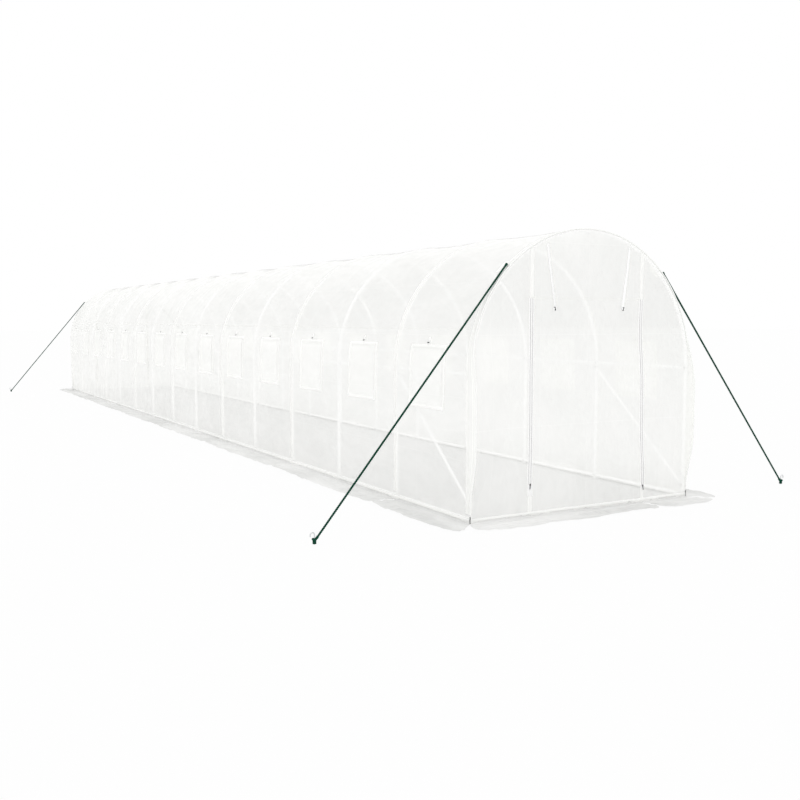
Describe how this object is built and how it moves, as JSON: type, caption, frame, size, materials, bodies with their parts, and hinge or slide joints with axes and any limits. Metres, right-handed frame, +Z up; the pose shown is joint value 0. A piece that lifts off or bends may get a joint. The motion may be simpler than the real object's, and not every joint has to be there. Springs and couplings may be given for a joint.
{
  "type": "polytunnel greenhouse",
  "caption": "Long hooped tunnel greenhouse: steel tube frame, translucent film cover, zipped roll-up doors, side windows, ground skirt and guy ropes on pegs.",
  "frame": {"origin": "middle of the footprint, at ground level", "axes": "+X to the right across the tunnel seen from the front, +Y from the front end to the rear end, +Z up"},
  "size_m": [4.304, 14.4806, 1.9998],
  "materials": {
    "steel_tube": "white coated steel tube, satin",
    "cover_film": "translucent white woven polyethylene film, creased, soft sheen",
    "skirt_film": "the same film lying on the ground, wrinkled",
    "window_net": "white insect net",
    "window_flap": "film flap with a bound white edge",
    "zip_tape": "grey coil zip on white tape",
    "strap_webbing": "white tie strap",
    "guy_rope": "dark green twisted polypropylene rope",
    "peg_steel": "zinc plated wire peg"
  },
  "bodies": {
    "root": {"front_arch": "steel_tube", "arch_02": "steel_tube", "arch_03": "steel_tube", "arch_04": "steel_tube", "arch_05": "steel_tube", "arch_06": "steel_tube", "arch_07": "steel_tube", "arch_08": "steel_tube", "arch_09": "steel_tube", "arch_10": "steel_tube", "arch_11": "steel_tube", "arch_12": "steel_tube", "arch_13": "steel_tube", "arch_14": "steel_tube", "rear_arch": "steel_tube", "ridge_purlin": "steel_tube", "left_mid_rail": "steel_tube", "right_mid_rail": "steel_tube", "left_base_rail": "steel_tube", "right_base_rail": "steel_tube", "front_base_tube": "steel_tube", "rear_base_tube": "steel_tube", "front_corner_braces": "steel_tube", "rear_corner_braces": "steel_tube", "roof_cover": "cover_film", "left_wall_cover": "cover_film", "right_wall_cover": "cover_film", "front_wall": "cover_film", "rear_wall": "cover_film", "front_door": "cover_film", "rear_door": "cover_film", "left_skirt": "skirt_film", "right_skirt": "skirt_film", "front_skirt": "skirt_film", "rear_skirt": "skirt_film", "left_window_nets": "window_net", "right_window_nets": "window_net", "left_window_flaps": "window_flap", "right_window_flaps": "window_flap", "front_door_zips": "zip_tape", "rear_door_zips": "zip_tape", "front_door_straps": "strap_webbing", "rear_door_straps": "strap_webbing", "guy_ropes": "guy_rope", "ground_pegs": "peg_steel"}
  },
  "joints": []
}
